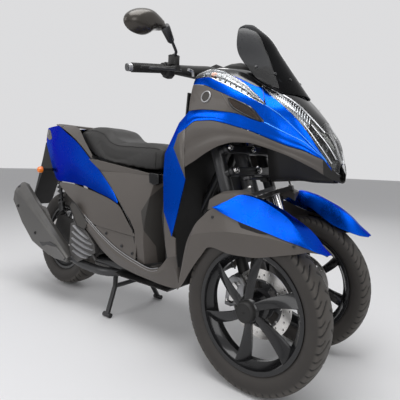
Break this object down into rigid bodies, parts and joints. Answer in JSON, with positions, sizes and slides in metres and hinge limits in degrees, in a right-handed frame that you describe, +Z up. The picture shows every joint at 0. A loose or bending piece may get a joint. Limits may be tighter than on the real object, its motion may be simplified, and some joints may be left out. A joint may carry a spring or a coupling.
{
  "type": "reverse trike",
  "caption": "Leaning three-wheeled scooter with two steered front wheels on a parallelogram linkage, step-through floor, lifting seat and fold-down stands.",
  "frame": {"origin": "on the ground under the middle of the vehicle", "axes": "+X forward, +Y to the rider's left, +Z up"},
  "size_m": [1.98, 0.968, 1.243],
  "materials": {
    "blue_paint": "metallic gloss",
    "grey_panel": "satin",
    "black_panel": "satin",
    "black_gloss": "gloss",
    "black_metal": "satin",
    "alloy": "cast",
    "wheel_alloy": "gloss black",
    "steel": "brushed",
    "tyre": "matt",
    "rubber": "matt",
    "seat_cover": "grained",
    "screen": "smoked",
    "lamp_lens": "clear",
    "orange_lens": "tinted"
  },
  "bodies": {
    "chassis": {"frame": "black_metal", "top_cover": "black_gloss", "headlights": "lamp_lens", "indicators": "lamp_lens", "cowl": "blue_paint", "badge_panels": "grey_panel", "arch_panels": "grey_panel", "chin": "black_panel", "leg_shield": "blue_paint", "inner_shield": "black_panel", "arch_liner": "black_panel", "windscreen": "screen", "dash": "black_gloss", "floor_board": "rubber", "side_skirts": "grey_panel", "belly_tray": "black_panel", "tail_cover": "blue_paint", "side_covers": "grey_panel", "tail_lower": "grey_panel", "grab_rail": "grey_panel", "mudguard": "black_panel", "rear_lamps": "orange_lens", "engine": "alloy", "shocks": "black_metal", "exhaust": "black_panel", "radiator_cover": "black_metal", "storage_box": "black_panel"},
    "bars": {"steering_column": "black_metal", "handlebar": "black_metal", "grips": "rubber", "controls": "black_panel", "bar_cover": "black_panel", "mirrors": "black_panel"},
    "knuckle": {"tie_rod_knuckle": "steel"},
    "tie_rod": {"tie_rod": "black_metal"},
    "upper_arm": {"upper_arm": "black_metal"},
    "lower_arm": {"lower_arm": "black_metal"},
    "upright_left": {"upright_left": "black_metal"},
    "upright_right": {"upright_right": "black_metal"},
    "fork_left": {"fork_left": "alloy", "fender_top_left": "blue_paint", "fender_side_left": "grey_panel"},
    "fork_right": {"fork_right": "alloy", "fender_top_right": "blue_paint", "fender_side_right": "grey_panel"},
    "wheel_left": {"tyre_left": "tyre", "rim_left": "wheel_alloy", "disc_left": "steel"},
    "wheel_right": {"tyre_right": "tyre", "rim_right": "wheel_alloy", "disc_right": "steel"},
    "wheel_rear": {"tyre_rear": "tyre", "rim_rear": "wheel_alloy", "disc_rear": "steel"},
    "seat": {"seat": "seat_cover", "seat_hinge": "black_metal"},
    "centre_stand": {"centre_stand": "black_metal"},
    "side_stand": {"side_stand": "black_metal"}
  },
  "joints": [
    {"name": "steering", "type": "hinge", "parent": "chassis", "child": "bars", "pos_m": [0.55868, 0, 0.685], "axis": [-0.342, 0, 0.9397], "range_deg": [-32, 32]},
    {"name": "lean", "type": "hinge", "parent": "chassis", "child": "upper_arm", "pos_m": [0.53987, 0, 0.73668], "axis": [0.9397, 0, 0.342], "range_deg": [-38, 38]},
    {"name": "lower_arm_tilt", "type": "hinge", "parent": "chassis", "child": "lower_arm", "pos_m": [0.56894, 0, 0.65681], "axis": [0.9397, 0, 0.342], "range_deg": [-38, 38]},
    {"name": "upright_left_tilt", "type": "hinge", "parent": "upper_arm", "child": "upright_left", "pos_m": [0.53987, 0.15, 0.73668], "axis": [0.9397, 0, 0.342], "range_deg": [-38, 38]},
    {"name": "upright_right_tilt", "type": "hinge", "parent": "upper_arm", "child": "upright_right", "pos_m": [0.53987, -0.15, 0.73668], "axis": [0.9397, 0, 0.342], "range_deg": [-38, 38]},
    {"name": "fork_left_steer", "type": "hinge", "parent": "upright_left", "child": "fork_left", "pos_m": [0.55868, 0.15, 0.685], "axis": [-0.342, 0, 0.9397], "range_deg": [-32, 32]},
    {"name": "fork_right_steer", "type": "hinge", "parent": "upright_right", "child": "fork_right", "pos_m": [0.55868, -0.15, 0.685], "axis": [-0.342, 0, 0.9397], "range_deg": [-32, 32]},
    {"name": "knuckle_turn", "type": "hinge", "parent": "bars", "child": "knuckle", "pos_m": [0.64701, 0, 0.71715], "axis": [-0.342, 0, 0.9397], "range_deg": [-32, 32]},
    {"name": "tie_rod_tilt", "type": "hinge", "parent": "knuckle", "child": "tie_rod", "pos_m": [0.67129, 0, 0.65043], "axis": [0.9397, 0, 0.342], "range_deg": [-38, 38]},
    {"name": "wheel_left_spin", "type": "hinge", "parent": "fork_left", "child": "wheel_left", "pos_m": [0.74, 0.1925, 0.25], "axis": [0, 1, 0], "continuous": true},
    {"name": "wheel_right_spin", "type": "hinge", "parent": "fork_right", "child": "wheel_right", "pos_m": [0.74, -0.1925, 0.25], "axis": [0, 1, 0], "continuous": true},
    {"name": "wheel_rear_spin", "type": "hinge", "parent": "chassis", "child": "wheel_rear", "pos_m": [-0.61, 0, 0.266], "axis": [0, 1, 0], "continuous": true},
    {"name": "seat_hinge", "type": "hinge", "parent": "chassis", "child": "seat", "pos_m": [0.2, 0, 0.672], "axis": [0, 1, 0], "range_deg": [0, 70]},
    {"name": "centre_stand_fold", "type": "hinge", "parent": "chassis", "child": "centre_stand", "pos_m": [-0.095, 0, 0.205], "axis": [0, 1, 0], "range_deg": [0, 60]},
    {"name": "side_stand_fold", "type": "hinge", "parent": "chassis", "child": "side_stand", "pos_m": [0.06, 0.15, 0.19], "axis": [0, -1, 0], "range_deg": [0, 80]}
  ],
  "couplings": [
    {"joint": "lower_arm_tilt", "follows": "lean", "ratio": 1},
    {"joint": "upright_left_tilt", "follows": "lean", "ratio": -1},
    {"joint": "upright_right_tilt", "follows": "lean", "ratio": -1},
    {"joint": "tie_rod_tilt", "follows": "lean", "ratio": 1},
    {"joint": "fork_left_steer", "follows": "steering", "ratio": 1},
    {"joint": "fork_right_steer", "follows": "steering", "ratio": 1},
    {"joint": "knuckle_turn", "follows": "steering", "ratio": -1}
  ]
}
